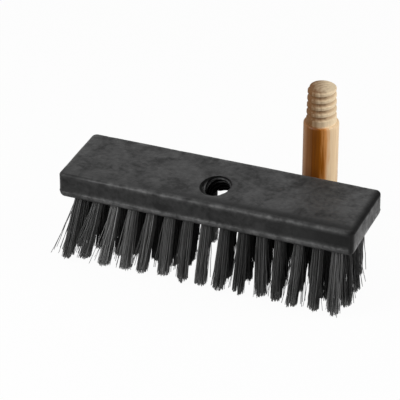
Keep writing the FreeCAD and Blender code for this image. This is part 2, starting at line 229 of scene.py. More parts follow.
class HandleSettings(bpy.types.PropertyGroup):
    """Threaded handle end."""

    thread_radius: FloatProperty(
        name="Thread radius", description="Outside of the thread at its tip",
        default=9.525 * MM, unit="LENGTH", precision=5)
    shoulder_step: FloatProperty(
        name="Shoulder step", description="Plain part in to the foot of the thread",
        default=1.675 * MM, unit="LENGTH", precision=5)
    thread_length: FloatProperty(
        name="Thread length", description="Threaded part",
        default=25.4 * MM, unit="LENGTH", precision=4)
    thread_depth: FloatProperty(
        name="Thread depth", description="Crest to root",
        default=1.5 * MM, unit="LENGTH", precision=5)
    thread_pitch: FloatProperty(
        name="Thread pitch", description="Ridge to ridge along the axis",
        default=5.08 * MM, unit="LENGTH", precision=5)
    thread_crest: FloatProperty(
        name="Thread crest", description="Top of the ridge",
        default=1.6 * MM, unit="LENGTH", precision=5)
    thread_root: FloatProperty(
        name="Thread root", description="Bottom of the groove",
        default=1.1 * MM, unit="LENGTH", precision=5)
    thread_land: FloatProperty(
        name="Thread land", description="Plain land between the shoulder and the start of the groove",
        default=1.6 * MM, unit="LENGTH", precision=5)
    thread_start: FloatProperty(
        name="Thread start", description="Start of the groove, round from the right",
        default=math.radians(110), subtype="ANGLE")
    shoulder: FloatProperty(
        name="Shoulder", description="Round above the plain part",
        default=1.5 * MM, unit="LENGTH", precision=4)
    tip_chamfer: FloatProperty(
        name="Tip chamfer", description="Bevel of the threaded tip",
        default=0.6 * MM, unit="LENGTH", precision=4)
    foot_chamfer: FloatProperty(
        name="Foot chamfer", description="Bevel of the sawn foot",
        default=0.8 * MM, unit="LENGTH", precision=4)
    # Lighter colour at the far left edge: painted reflection.
    painted_rim_reflection_colour: FloatVectorProperty(
        name="Rind colour", description="Varnished wood on the far side of the heart", subtype="COLOR",
        default=(0.34, 0.160, 0.060), min=0, max=1)
    # Heartwood colour, put on the left side as painted shade.
    heart_and_shade_colour: FloatVectorProperty(
        name="Heart colour", description="Varnished heartwood", subtype="COLOR",
        default=(0.175, 0.053, 0.008), min=0, max=1)
    varnish_colour: FloatVectorProperty(
        name="Varnish colour", description="Varnished wood next to the heart", subtype="COLOR",
        default=(0.35, 0.105, 0.006), min=0, max=1)
    amber_colour: FloatVectorProperty(
        name="Amber colour", description="Varnished wood next to the sapwood", subtype="COLOR",
        default=(0.80, 0.350, 0.105), min=0, max=1)
    # Sapwood colour, put on the right side as painted light.
    sap_and_light_colour: FloatVectorProperty(
        name="Sap colour", description="Varnished sapwood", subtype="COLOR",
        default=(1.0, 0.74, 0.46), min=0, max=1)
    bare_colour: FloatVectorProperty(
        name="Bare colour", description="Bare wood of the thread", subtype="COLOR",
        default=(1.0, 0.80, 0.54), min=0, max=1)
    # Also the dark side of the bare wood: painted shade.
    groove_and_shade_colour: FloatVectorProperty(
        name="Groove colour", description="Bottom of the thread and dark bare wood", subtype="COLOR",
        default=(0.22, 0.105, 0.038), min=0, max=1)
    # Painted light falls on this side, painted shade on the opposite one.
    painted_light_side: FloatProperty(
        name="Sap side", description="Side of the pale sapwood, from the right end towards the back",
        default=math.radians(15), subtype="ANGLE")


class StageSettings(bpy.types.PropertyGroup):
    """Camera and light."""

    azimuth: FloatProperty(
        name="Azimuth", description="Camera round the object from its front",
        default=math.radians(21.76), subtype="ANGLE")
    elevation: FloatProperty(
        name="Elevation", description="Camera above the horizon",
        default=math.radians(30.98), subtype="ANGLE")
    distance: FloatProperty(
        name="Distance", description="Camera to what it looks at", default=1.6, unit="LENGTH")
    lens: FloatProperty(
        name="Lens", description="Focal length in millimetres", default=220.46)
    target: FloatVectorProperty(
        name="Target", description="What the camera looks at",
        default=(-13.26 * MM, 6.0 * MM, -17.0 * MM), subtype="TRANSLATION", unit="LENGTH")
    key_power: FloatProperty(
        name="Key light", description="Soft light above the front left", default=3.5, unit="POWER")
    side_power: FloatProperty(
        name="Side light", description="Soft light from the right", default=6.0, unit="POWER")
    ambient: FloatProperty(
        name="Ambient", description="Even light on the object", default=0.25, min=0)


class BrushSettings(bpy.types.PropertyGroup):
    """Everything a user would change on the brush."""

    block: PointerProperty(type=BlockSettings)
    tufts: PointerProperty(type=TuftSettings)
    anchors: PointerProperty(type=AnchorSettings)
    handle: PointerProperty(type=HandleSettings)
    stage: PointerProperty(type=StageSettings)


def smooth_step(low, high, value):
    """0 below low, 1 above high, an even curve between."""
    share = min(max((value - low) / (high - low), 0.0), 1.0)
    return share * share * (3 - 2 * share)


def thread_crest(turns):
    """1 on the crest of a rounded thread, 0 in its groove; one turn is one pitch."""
    return smooth_step(0.05, 0.85, 0.5 + 0.5 * math.cos(2 * math.pi * turns))


def colour(values):
    """Colour with full alpha, as a node's socket takes it."""
    return (*values, 1.0)


class Nodes:
    """Adds nodes to the tree of a material or a world."""

    def __init__(self, tree):
        self.tree = tree

    def add(self, kind, settings=None, **sockets):
        """Adds a node; a socket takes a number, a colour or another node's output."""
        node = self.tree.nodes.new(kind)
        for name, value in (settings or {}).items():
            setattr(node, name, value)
        for name, value in sockets.items():
            self.feed(node, name.replace("_", " "), value)
        return node

    def feed(self, node, name, value):
        """Sets a socket, or links another node's output to it."""
        if isinstance(value, bpy.types.NodeSocket):
            self.tree.links.new(value, node.inputs[name])
        else:
            node.inputs[name].default_value = value

    def place(self, scale=(1, 1, 1), location=(0, 0, 0)):
        """Object coordinates, moved and stretched."""
        source = self.add("ShaderNodeTexCoord").outputs["Object"]
        node = self.add("ShaderNodeMapping", Vector=source, Scale=scale, Location=location)
        return node.outputs["Vector"]

    def noise(self, vector, scale, detail=4.0, roughness=0.55, distortion=0.0):
        node = self.add(
            "ShaderNodeTexNoise", Vector=vector, Scale=scale, Detail=detail,
            Roughness=roughness, Distortion=distortion)
        return node.outputs["Fac"]

    def attribute(self, name):
        return self.add("ShaderNodeAttribute", {"attribute_name": name}).outputs["Fac"]

    def math(self, operation, first, second):
        node = self.add("ShaderNodeMath", {"operation": operation})
        self.feed(node, 0, first)
        self.feed(node, 1, second)
        return node.outputs["Value"]

    def total(self, *terms):
        """Sum of values, each times its share."""
        result, *others = [self.math("MULTIPLY", value, share) for value, share in terms]
        for other in others:
            result = self.math("ADD", result, other)
        return result

    def blend(self, share, first, second):
        """Colour between two colours."""
        node = self.add("ShaderNodeMix", {"data_type": "RGBA"})
        for socket, value in ((MIX_SHARE, share), (MIX_FIRST, first), (MIX_SECOND, second)):
            self.feed(node, socket, value)
        return node.outputs[MIX_RESULT]

    def spread(self, value, low, high, to_low, to_high):
        """Stretches a range of values to another range."""
        node = self.add(
            "ShaderNodeMapRange", Value=value, From_Min=low, From_Max=high,
            To_Min=to_low, To_Max=to_high)
        return node.outputs["Result"]

    def ramp(self, value, stops):
        """Colour that runs through a list of (value, colour) stops between -1 and 1."""
        node = self.add("ShaderNodeValToRGB", Fac=self.spread(value, -1.0, 1.0, 0.0, 1.0))
        elements = node.color_ramp.elements
        while len(elements) < len(stops):
            elements.new(1.0)
        for element, (place, shade) in zip(elements, stops):
            element.position = (place + 1.0) / 2
            element.color = colour(shade)
        return node.outputs["Color"]

    def bump(self, height, strength, distance, normal=None):
        node = self.add("ShaderNodeBump", Height=height, Strength=strength, Distance=distance)
        if normal is not None:
            self.feed(node, "Normal", normal)
        return node.outputs["Normal"]


class Finish(Nodes):
    """A node material that ends in one Principled shader."""

    def __init__(self, name, **sockets):
        self.material = bpy.data.materials.new(name)
        self.material.use_nodes = True
        super().__init__(self.material.node_tree)
        self.tree.nodes.clear()
        self.shader = self.add("ShaderNodeBsdfPrincipled", **sockets)
        self.add("ShaderNodeOutputMaterial", Surface=self.shader.outputs["BSDF"])


def block_finish(settings):
    """Black moulded foam: patchy skin with fine grain, pale edges that are partly worn by use and partly
    painted highlight, and painted shade inside the socket and on matt patches.
    """
    finish = Finish("moulded_skin", Specular_IOR_Level=0.3)
    place = finish.place()
    patches = finish.noise(place, scale=62.0, detail=4.0, distortion=0.7)
    spots = finish.noise(place, scale=300.0, detail=3.0, distortion=0.3)
    grain = finish.noise(place, scale=2600.0, detail=2.0)
    mottle = finish.total((patches, 0.68), (spots, 0.32))
    shade = finish.spread(mottle, *MOTTLE_RANGE, 0.0, 1.0)
    skin = finish.blend(shade, colour(settings.dark_colour), colour(settings.light_colour))
    spotty = finish.spread(spots, 0.35, 0.65, 0.35, 1.0)
    # Pale edges, bead line, end faces and a faint patch on the top: partly worn by use, partly painted
    # highlight.
    wear_and_highlight = finish.math("MULTIPLY", finish.attribute("wear_and_highlight"), spotty)
    rubbed_and_highlit = finish.blend(wear_and_highlight, skin, colour(settings.edge_wear_and_highlight_colour))
    # Inside the socket and on the matt patches the colour turns dark as painted shade, and the skin
    # rougher.
    painted_shade_and_matt = finish.attribute("painted_shade_and_matt")
    finish.feed(finish.shader, "Base Color", finish.blend(painted_shade_and_matt, rubbed_and_highlit, colour(settings.dark_colour)))
    gloss = finish.spread(mottle, *MOTTLE_RANGE, 0.56, 0.32)
    finish.feed(finish.shader, "Roughness", finish.math("MAXIMUM", gloss, painted_shade_and_matt))
    relief = finish.bump(spots, strength=0.35, distance=0.6 * MM)
    grained = finish.bump(grain, strength=0.22, distance=0.2 * MM, normal=relief)
    finish.feed(finish.shader, "Normal", grained)
    return finish.material


def filament_finish(settings):
    """Black extruded filament, each one a little different at random, darkened by painted shade towards the
    right end and in the inner rows, duller towards its cut tip.
    """
    finish = Finish("filament", Specular_IOR_Level=0.3)
    tone_and_shade = finish.attribute("tone_and_shade")
    streaks = finish.noise(finish.place(scale=(1, 1, 0.08)), scale=1500.0, detail=3.0)
    shade = finish.math("MULTIPLY", tone_and_shade, finish.spread(streaks, 0.3, 0.7, 0.75, 1.15))
    mixed = finish.blend(shade, colour(settings.dark_colour), colour(settings.light_colour))
    finish.feed(finish.shader, "Base Color", mixed)
    finish.feed(finish.shader, "Roughness", finish.spread(tone_and_shade, 0.0, 1.0, 0.66, 0.44))
    return finish.material


def wood_finish(settings):
    """Turned hardwood: varnished on the plain part, bare and darker in the grooves of the thread; round it
    run painted light on the right, painted shade on the left and a painted reflection at the far left edge,
    broken up by the grain.
    """
    finish = Finish("turned_wood", Specular_IOR_Level=0.22)
    middle = (HANDLE_LOW + HANDLE_HIGH) / 2
    fibres = finish.place(scale=(1, 1, 0.045), location=(-middle.x, -middle.y, 0))
    streaks = finish.noise(fibres, scale=520.0, detail=7.0, roughness=0.62, distortion=0.5)
    broad = finish.noise(fibres, scale=130.0, detail=4.0, roughness=0.5, distortion=0.8)
    pores = finish.noise(finish.place(scale=(1, 1, 0.02)), scale=2400.0, detail=2.0)
    pith = (-middle.x - 6 * MM, -middle.y + 4 * MM, 0)
    rings = finish.add(
        "ShaderNodeTexWave", {"wave_type": "RINGS", "rings_direction": "Z"},
        Vector=finish.place(scale=(1, 1, 0.12), location=pith),
        Scale=105.0, Distortion=3.2, Detail=3.0, Detail_Scale=1.4).outputs["Fac"]
    grain = finish.total((streaks, 0.6), (broad, 0.4), (rings, 0.10))
    radius = (HANDLE_HIGH.x - HANDLE_LOW.x) / 2
    # Painted light and shade: runs from the shaded side to the lit side, broken up by the grain.
    side = finish.add("ShaderNodeVectorMath", {"operation": "DOT_PRODUCT"})
    finish.feed(side, 0, fibres)
    finish.feed(side, 1, (math.cos(settings.painted_light_side) / radius, math.sin(settings.painted_light_side) / radius, 0))
    uneven = finish.spread(grain, 0.3, 0.8, -0.35, 0.35)
    lit_side_and_grain = finish.math("ADD", side.outputs["Value"], uneven)
    varnished = finish.ramp(lit_side_and_grain, (
        (-0.95, settings.painted_rim_reflection_colour), (-0.45, settings.heart_and_shade_colour), (0.03, settings.varnish_colour),
        (0.25, settings.amber_colour), (0.50, settings.sap_and_light_colour)))
    fleck = finish.spread(streaks, 0.50, 0.74, 0.0, 0.28)
    varnished = finish.blend(fleck, varnished, colour(settings.varnish_colour))
    # Bare wood dark on the shaded side and pale on the lit side: painted shade and light.
    paleness = finish.spread(lit_side_and_grain, -0.55, 0.45, 0.0, 1.0)
    pale = finish.blend(paleness, colour(settings.groove_and_shade_colour), colour(settings.bare_colour))
    # Darker in the grooves, more so on the shaded side, which is painted shade.
    shaded_side_share = finish.spread(lit_side_and_grain, -0.3, 0.7, 0.9, 0.45)
    groove_dark_and_shade = finish.math("MULTIPLY", finish.attribute("groove"), shaded_side_share)
    bare_with_dark_grooves = finish.blend(groove_dark_and_shade, pale, colour(settings.groove_and_shade_colour))
    bare = finish.attribute("bare")
    finish.feed(finish.shader, "Base Color", finish.blend(bare, varnished, bare_with_dark_grooves))
    finish.feed(finish.shader, "Roughness", finish.spread(bare, 0.0, 1.0, 0.36, 0.58))
    finish.feed(finish.shader, "Normal", finish.bump(pores, strength=0.18, distance=0.2 * MM))
    return finish.material


def anchor_finish(settings):
    """Drawn steel strip."""
    finish = Finish("drawn_strip", Metallic=1.0)
    lines = finish.noise(finish.place(scale=(0.05, 1, 1)), scale=4000.0, detail=3.0)
    strip = finish.blend(lines, colour(settings.dark_colour), colour(settings.light_colour))
    finish.feed(finish.shader, "Base Color", strip)
    finish.feed(finish.shader, "Roughness", finish.spread(lines, 0.3, 0.7, 0.28, 0.45))
    return finish.material


def new_object(name, bm, material=None):
    """Turns a bmesh into a linked object and frees the bmesh."""
    mesh = bpy.data.meshes.new(name)
    bm.to_mesh(mesh)
    bm.free()
    if material is not None:
        mesh.materials.append(material)
    piece = bpy.data.objects.new(name, mesh)
    bpy.context.scene.collection.objects.link(piece)
    return piece


def shade_smooth(mesh, sharp_angle):
    mesh.shade_smooth()
    mesh.set_sharp_from_angle(angle=sharp_angle)


def everything(bm):
    return bm.verts[:] + bm.edges[:] + bm.faces[:]


def cut_across(bm, axis, levels):
    """Cuts the mesh with planes square to one axis."""
    normal = Vector((0, 0, 0))
    normal[axis] = 1.0
    for level in levels:
        bmesh.ops.bisect_plane(
            bm, geom=everything(bm), dist=1e-7, plane_co=normal * level, plane_no=normal)


def even_levels(low, high, step):
    count = max(1, round((high - low) / step))
    return [low + (high - low) * index / count for index in range(count + 1)]


def round_edges(bm, wanted, radius, segments):
    edges = [edge for edge in bm.edges if wanted(edge)]
    bmesh.ops.bevel(
        bm, geom=edges, offset=radius, offset_type="OFFSET", affect="EDGES",
        segments=segments, profile=0.5, material=-1, clamp_overlap=False)


def rounded_block(settings):
    """Box with rounded corners and edges, gridded finely enough for the skin's relief."""
    size = BLOCK_HIGH - BLOCK_LOW
    middle = (BLOCK_HIGH + BLOCK_LOW) / 2
    bm = bmesh.new()
    bmesh.ops.create_cube(bm, size=1.0, matrix=Matrix.Translation(middle) @ Matrix.Diagonal((*size, 1)))

    def level_at(level):
        return lambda edge: all(abs(vertex.co.z - level) < SAME_POINT for vertex in edge.verts)

    def upright(edge):
        return abs(edge.verts[0].co.z - edge.verts[1].co.z) > size.z / 2

    round_edges(bm, upright, settings.corner_radius, CORNER_SEGMENTS)
    round_edges(bm, level_at(BLOCK_HIGH.z), settings.top_edge, TOP_EDGE_SEGMENTS)
    round_edges(bm, level_at(BLOCK_LOW.z), settings.lower_edge, LOWER_EDGE_SEGMENTS)

    inset = settings.corner_radius
    cut_across(bm, 0, even_levels(BLOCK_LOW.x + inset, BLOCK_HIGH.x - inset, settings.facet))
    cut_across(bm, 1, even_levels(BLOCK_LOW.y + inset, BLOCK_HIGH.y - inset, settings.facet))
    bead = bead_level(settings)
    cut_across(bm, 2, even_levels(bead + SIDE_START, BLOCK_HIGH.z - settings.top_edge, settings.facet))
    cut_across(bm, 2, even_levels(bead - BEAD_MARGIN, bead + BEAD_TOP, BEAD_FACET))
    return bm


def bead_level(settings):
    """Foot of the bead on the mould's parting line, just above the lower round."""
    return BLOCK_LOW.z + settings.lower_edge + BEAD_ABOVE_ROUND


def socket_rings():
    """Levels of the socket cutter's rings, top to bottom, each with its share of the mouth's round."""
    rim = [(1.0, 1.6), (0.0, 1.0), (-0.12, 0.62), (-0.35, 0.28), (-0.7, 0.07), (-1.0, 0.0)]
    head = [(BLOCK_HIGH.z + level * MM, share) for level, share in rim]
    foot = [(BLOCK_LOW.z - level * MM, share) for level, share in reversed(rim)]
    between = even_levels(head[-1][0], foot[0][0], -SOCKET_FACET)[1:-1]
    return head + [(level, 0.0) for level in between] + foot


def socket_cutter(settings, thread):
    """Slanting cutter for the handle socket, with the thread's ridge left standing in it."""
    slope = math.tan(settings.socket_lean)
    squeeze = math.cos(settings.socket_lean)
    axis = Vector((0, -math.sin(settings.socket_lean), squeeze))

    def place(vertex, angle, level, share):
        def on_wall(radius):
            across = radius * math.sin(angle) / squeeze
            return Vector((radius * math.cos(angle), across - level * slope, level))
        radius = settings.socket_radius + share * settings.mouth_round * (0.8 - 0.6 * math.sin(angle))
        turns = on_wall(radius).dot(axis) / thread.thread_pitch - angle / (2 * math.pi) + SOCKET_THREAD_TURN
        ridge = thread_crest(turns) * smooth_step(0.4 * MM, 2.0 * MM, BLOCK_HIGH.z - level)
        vertex.co = on_wall(radius - ridge * thread.thread_depth)

    bm = bmesh.new()
    circle = bmesh.ops.create_circle(bm, segments=SOCKET_SIDES, radius=1.0)
    loop = circle["verts"]
    angles = {vertex: math.atan2(vertex.co.y, vertex.co.x) for vertex in loop}
    edges = bm.edges[:]
    for number, (level, share) in enumerate(socket_rings()):
        if number:
            made = bmesh.ops.extrude_edge_only(bm, edges=edges)["geom"]
            fresh = [item for item in made if isinstance(item, bmesh.types.BMVert)]
            edges = [item for item in made if isinstance(item, bmesh.types.BMEdge)
                     and all(vertex in fresh for vertex in item.verts)]
            older = {tuple(round(value, 9) for value in vertex.co): angles[vertex] for vertex in loop}
            angles = {vertex: older[tuple(round(value, 9) for value in vertex.co)] for vertex in fresh}
            loop = fresh
        for vertex in loop:
            place(vertex, angles[vertex], level, share)
    bmesh.ops.holes_fill(bm, edges=bm.edges[:], sides=0)
    bmesh.ops.recalc_face_normals(bm, faces=bm.faces[:])
    return bm


def cut_socket(block, cutter):
    """Takes the cutter out of the block and removes the cutter."""
    cut = block.modifiers.new("socket", "BOOLEAN")
    cut.operation = "DIFFERENCE"
    cut.solver = "EXACT"
    cut.object = cutter
    evaluated = block.evaluated_get(bpy.context.evaluated_depsgraph_get())
    result = bpy.data.meshes.new_from_object(evaluated)
    block.modifiers.clear()
    old = block.data
    block.data = result
    result.name = block.name
    bpy.data.meshes.remove(old)
    bpy.data.objects.remove(cutter)


def distance_to_socket(point, settings):
    """Distance of a point from the socket's axis, which passes through the origin."""
    axis = Vector((0, -math.sin(settings.socket_lean), math.cos(settings.socket_lean)))
    return point.cross(axis).length


def matt_and_painted_shade_share(point, normal, bead):
    """How matt the skin is, and how far its colour is darkened as painted shade: along the right end's top
    edge, on the front right corner, in a strip behind the front edge, on the front's right half and on the
    top front edge near the left end.
    """
    near_top = smooth_step(-3.6 * MM, -1.2 * MM, point.z - BLOCK_HIGH.z)
    shoulder = smooth_step(-7.5 * MM, -0.8 * MM, point.x - BLOCK_HIGH.x)
    right_edge = max(smooth_step(0.25, 0.6, normal.x), shoulder) * near_top
    right_corner = smooth_step(0.2, 0.5, min(normal.x, -normal.y))
    to_right = smooth_step(BLOCK_LOW.x, BLOCK_HIGH.x / 2, point.x)
    from_front = point.y - BLOCK_LOW.y
    strip = smooth_step(0.8 * MM, 3 * MM, from_front) - smooth_step(4 * MM, 18 * MM, from_front)
    strip *= smooth_step(0.6, 0.95, normal.z)
    front = smooth_step(0.9, 1.0, -normal.y) * smooth_step(20 * MM, 90 * MM, point.x)
    front *= smooth_step(1.5 * MM, 3.5 * MM, min(point.z - bead, BLOCK_HIGH.z - point.z))
    left_edge = smooth_step(0.05, 0.2, min(normal.z, -normal.y))
    left_edge *= 1.0 - smooth_step(10 * MM, 45 * MM, point.x - BLOCK_LOW.x)
    return max(0.92 * right_edge, 0.75 * right_corner, (0.4 + 0.3 * to_right) * strip, 0.7 * front,
               0.6 * left_edge)


def rubbed_and_highlight_share(point, normal, bead):
    """How far the skin is made pale, partly worn by use and partly painted highlight: along the top edge
    and the parting bead, both fainter towards the left end; the two end faces and a faint patch on the top,
    growing to the right, are painted highlight.
    """
    broken = 0.6 + 0.9 * noise.noise(point * 150.0 + Vector((7, 3, 5)))
    inset = min(*(point - BLOCK_LOW).xy, *(BLOCK_HIGH - point).xy)
    reach = max(BLOCK_HIGH.z - point.z, 0.85 * inset) - 0.5 * MM
    edge = math.exp(-((max(reach, 0.0) / (1.6 * MM)) ** 2)) if normal.x < 0.3 else 0.0
    edge *= 0.4 + 0.6 * smooth_step(10 * MM, 45 * MM, point.x - BLOCK_LOW.x)
    width = 1.4 * MM if point.z > bead else 2.3 * MM
    line = math.exp(-(((point.z - bead) / width) ** 2)) * smooth_step(0.1, 0.6, 1.0 - abs(normal.z))
    line *= 1.0 - smooth_step(0.2, 0.5, min(abs(normal.x), abs(normal.y)))
    line *= 0.3 + 0.7 * smooth_step(6 * MM, 34 * MM, point.x - BLOCK_LOW.x)
    ends = 0.3 * smooth_step(0.9, 1.0, abs(normal.x)) * broken
    flat = smooth_step(0.9, 1.0, normal.z) * smooth_step(12 * MM, 30 * MM, point.y - BLOCK_LOW.y)
    flat *= 0.05 * smooth_step(0.0, 70 * MM, point.x)
    return min(max(0.42 * edge * broken + 0.42 * line * (0.5 + broken) + ends + flat, 0.0), 1.0)


def mould_skin(block, settings):
    """Raises the parting bead and the uneven skin, and marks painted shade with matt skin, and edges worn
    pale with painted highlight.
    """
    bm = bmesh.new()
    bm.from_mesh(block.data)
    bm.normal_update()
    wear_and_highlight = bm.verts.layers.float.new("wear_and_highlight")
    painted_shade_and_matt = bm.verts.layers.float.new("painted_shade_and_matt")
    bead = bead_level(settings) + BEAD_MIDDLE
    moves = {}
    for vertex in bm.verts:
        point, normal = vertex.co.copy(), vertex.normal.copy()
        wall = distance_to_socket(point, settings) - settings.socket_radius
        outside = smooth_step(1.0 * MM, 2.5 * MM, wall)
        # In the socket the thread ridge's crest is made paler as a painted highlight, and the rest of the
        # inside darkened as painted shade.
        crest = smooth_step(0.7 * MM, 1.3 * MM, -wall)
        crest *= smooth_step(-9.0 * MM, -4.0 * MM, point.z)
        inside = 1.0 - smooth_step(0.05 * MM, 0.6 * MM, wall) - crest
        vertex[painted_shade_and_matt] = max(inside, matt_and_painted_shade_share(point, normal, bead))
        vertex[wear_and_highlight] = rubbed_and_highlight_share(point, normal, bead) * outside + 0.4 * crest
        ridge = math.exp(-(((point.z - bead) / (0.5 * MM)) ** 2))
        ridge *= smooth_step(0.5, 0.95, 1.0 - abs(normal.z))
        waves = noise.noise(point * 60.0) * 0.9 + noise.noise(point * 210.0) * 0.5
        pit = 1.0 - smooth_step(0.10, 0.30, noise.voronoi(point * 260.0)[0][0])
        lift = settings.skin_relief * (waves - 1.3 * pit)
        lift += settings.parting_bead * ridge * (0.8 + 0.35 * noise.noise(point * 130.0))
        moves[vertex] = normal * lift * outside
    for vertex, move in moves.items():
        vertex.co += move
    bm.to_mesh(block.data)
    bm.free()


def tuft_names():
    return sorted(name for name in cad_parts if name.startswith("tuft_r"))


def row_and_column(name):
    return [int(part[1:]) for part in name.split("_")[1:3]]


def unit_filament():
    """One filament of unit thickness and length, root at 0 and tip at 1 along Z."""
    bm = bmesh.new()
    bmesh.ops.create_cone(
        bm, cap_ends=True, segments=4, radius1=0.5, radius2=0.42, depth=1.0,
        matrix=Matrix.Translation((0, 0, 0.5)))
    long_edges = [edge for edge in bm.edges if abs(edge.verts[0].co.z - edge.verts[1].co.z) > 0.5]
    bmesh.ops.subdivide_edges(bm, edges=long_edges, cuts=6)
    mesh = bpy.data.meshes.new("unit_filament")
    bm.to_mesh(mesh)
    bm.free()
    return mesh


def strand_middles(draw, settings, number):
    """Where the strands of a tuft lie in its round section, set between the splits of its solid."""
    step = 2 * math.pi / settings.strands
    first = number * settings.strand_turn - math.pi / 2 + step / 2
    angles = [first + step * strand for strand in range(settings.strands)]
    return [Vector((math.cos(angle), math.sin(angle), 0)) * draw.uniform(0.5, 0.78) for angle in angles]


class Tuft:
    """One tuft's place in the pattern, and what trimming and use have made of it."""

    def __init__(self, name, settings, rows, columns, draw):
        self.row, self.column = row_and_column(name)
        along = 2 * (self.column - 1) / (columns - 1) - 1
        across = 2 * (self.row - 1) / (rows - 1) - 1
        middle = (BLOCK_LOW + BLOCK_HIGH) / 2
        half = (BLOCK_HIGH - BLOCK_LOW) / 2
        self.root = Vector((
            middle.x + along * (half.x - settings.end_margin),
            middle.y + across * (half.y - settings.side_margin),
            BLOCK_LOW.z,
        ))
        fan = Matrix.Rotation(-settings.length_fan * along, 3, "Y") @ Matrix.Rotation(
            settings.width_fan * across, 3, "X")
        self.way = fan @ Vector((0, 0, -1))
        self.length = self.root.z - FLOOR_LEVEL
        self.inner_row = 1 < self.row < rows
        self.end_column = self.column in (1, columns)
        self.comb = self.combed_shift(settings, columns)
        spread = math.tan(settings.unruly) * self.length * (1.0 if self.row == 1 else 1.4)
        self.lean = Vector((draw.gauss(0, spread), draw.gauss(0, spread), 0))
        self.strands = strand_middles(draw, settings, (self.row - 1) * columns + self.column - 1)
        trim = draw.triangular(0.0, 2.0, 0.2) * MM
        self.short = [trim + draw.triangular(0.0, 2.8, 0.0) * MM for _ in self.strands]
        painted_light = self.painted_light_share()
        # Each strand's random darkness, times its tuft's painted light and shade.
        self.tones_and_shade = [draw.uniform(0.25, 1.0) * painted_light for _ in self.strands]
        self.splay = Vector((self.way.x, 0, 0)) * settings.splay / math.tan(settings.length_fan)
        self.splay *= 1.0 if self.root.x < 0 else 0.5

    def combed_shift(self, settings, columns):
        """How far use has combed the tips along the block."""
        if (self.row, self.column) == (2, columns):
            return math.tan(settings.corner_lean) * self.length
        shift = math.tan(settings.combed[self.row - 1]) * self.length
        if self.row > 1:
            shift *= smooth_step(*COMB_GROWS, self.root.x)
        if self.inner_row:
            shift *= 1.0 - smooth_step(*COMB_FADES, self.root.x)
        end_shift = math.tan(settings.end_combed) * self.length
        return shift + end_shift * smooth_step(*END_COMB_GROWS, self.root.x)

    def painted_light_share(self):
        """How light the filaments may be, as painted light and shade: lightest at the left end, darker
        towards the right, darkest in the inner rows, where shade falls between the tufts.
        """
        share = 1.0 - 0.47 * smooth_step(*PAINTED_SHADE_GROWS, self.root.x)
        if self.inner_row:
            share *= 0.5 if self.end_column else 0.15
        return share


def filament_path(draw, settings, tuft, index):
    """Function from 0 at the root to 1 at the tip that gives the filament's middle, and its strand."""
    golden = math.pi * (3 - math.sqrt(5))
    reach = math.sqrt((index + 0.5) / settings.filaments)
    angle = index * golden + draw.uniform(-0.25, 0.25)
    spot = Vector((math.cos(angle), math.sin(angle), 0)) * reach
    strand = min(tuft.strands, key=lambda centre: (centre - spot).length)
    number = tuft.strands.index(strand)
    stray = draw.random() < settings.stray_share * (1 + tuft.splay.length / settings.splay)
    shorter = tuft.short[number] + draw.triangular(0.0, 2.2, 0.2) * MM
    shorter += draw.uniform(0.5, 5.0) * MM if stray else 0.0
    shorter += settings.tip_round * reach ** 2
    push = spot * draw.uniform(1.5, 4.8) * MM + tuft.splay * draw.random() if stray else Vector((0, 0, 0))
    loose = Vector((draw.gauss(0, 0.55), draw.gauss(0, 0.55), 0)) * MM
    wave_way = draw.uniform(0, 2 * math.pi)
    wave = Vector((math.cos(wave_way), math.sin(wave_way), 0)) * draw.uniform(0.08, 0.30) * MM
    turns = draw.uniform(2.2, 4.2)
    phase = draw.uniform(0, 2 * math.pi)
    top = tuft.root.z + FILAMENT_START
    bottom = FLOOR_LEVEL + shorter

    def point(share):
        level = top + (bottom - top) * share
        depth = (tuft.root.z - level) / tuft.length
        down = max(depth, 0.0)
        middle = tuft.root + tuft.way * ((tuft.root.z - level) / -tuft.way.z) + tuft.lean * down ** 1.6
        middle.x += tuft.comb * down
        gathered = strand + (spot - strand) * 0.35
        drawn = spot.lerp(gathered, settings.clumping * smooth_step(0.25, 1.0, depth))
        radius = settings.root_radius + (settings.tip_radius - settings.root_radius) * math.sqrt(down)
        side = drawn * radius + loose * down ** 2 + push * down ** 1.25
        side += wave * math.sin(turns * 2 * math.pi * share + phase) * smooth_step(0.05, 0.4, depth)
        return Vector((middle.x + side.x, middle.y + side.y, level))

    return point, number


def tuft_mesh(name, settings, unit, rows, columns):
    """One tuft: a bundle of wavy filaments that draw together into strands at the tips."""
    draw = random.Random(name)
    tuft = Tuft(name, settings, rows, columns, draw)
    bm = bmesh.new()
    for _ in range(settings.filaments):
        bm.from_mesh(unit)
    bm.verts.ensure_lookup_table()
    tone_and_shade_layer = bm.verts.layers.float.new("tone_and_shade")
    per_filament = len(unit.vertices)
    for index in range(settings.filaments):
        path, strand = filament_path(draw, settings, tuft, index)
        tone_and_shade = tuft.tones_and_shade[strand] * draw.uniform(0.45, 1.0)
        turn = Matrix.Rotation(draw.uniform(0, math.pi), 3, "Z")
        for vertex in bm.verts[index * per_filament:(index + 1) * per_filament]:
            share = vertex.co.z
            section = turn @ Vector((vertex.co.x, vertex.co.y, 0)) * settings.thickness
            vertex.co = path(share) + section
            # This attribute holds the random darkness and the painted shade.
            vertex[tone_and_shade_layer] = min(1.0, tone_and_shade * 0.8 + 0.35 * smooth_step(0.85, 1.0, share))
    return bm


def crest_radius(settings, height):
    """Outside of the tapered thread at a height above the shoulder."""
    foot = (HANDLE_HIGH.x - HANDLE_LOW.x) / 2 - settings.shoulder_step
    return foot + (settings.thread_radius - foot) * height / settings.thread_length


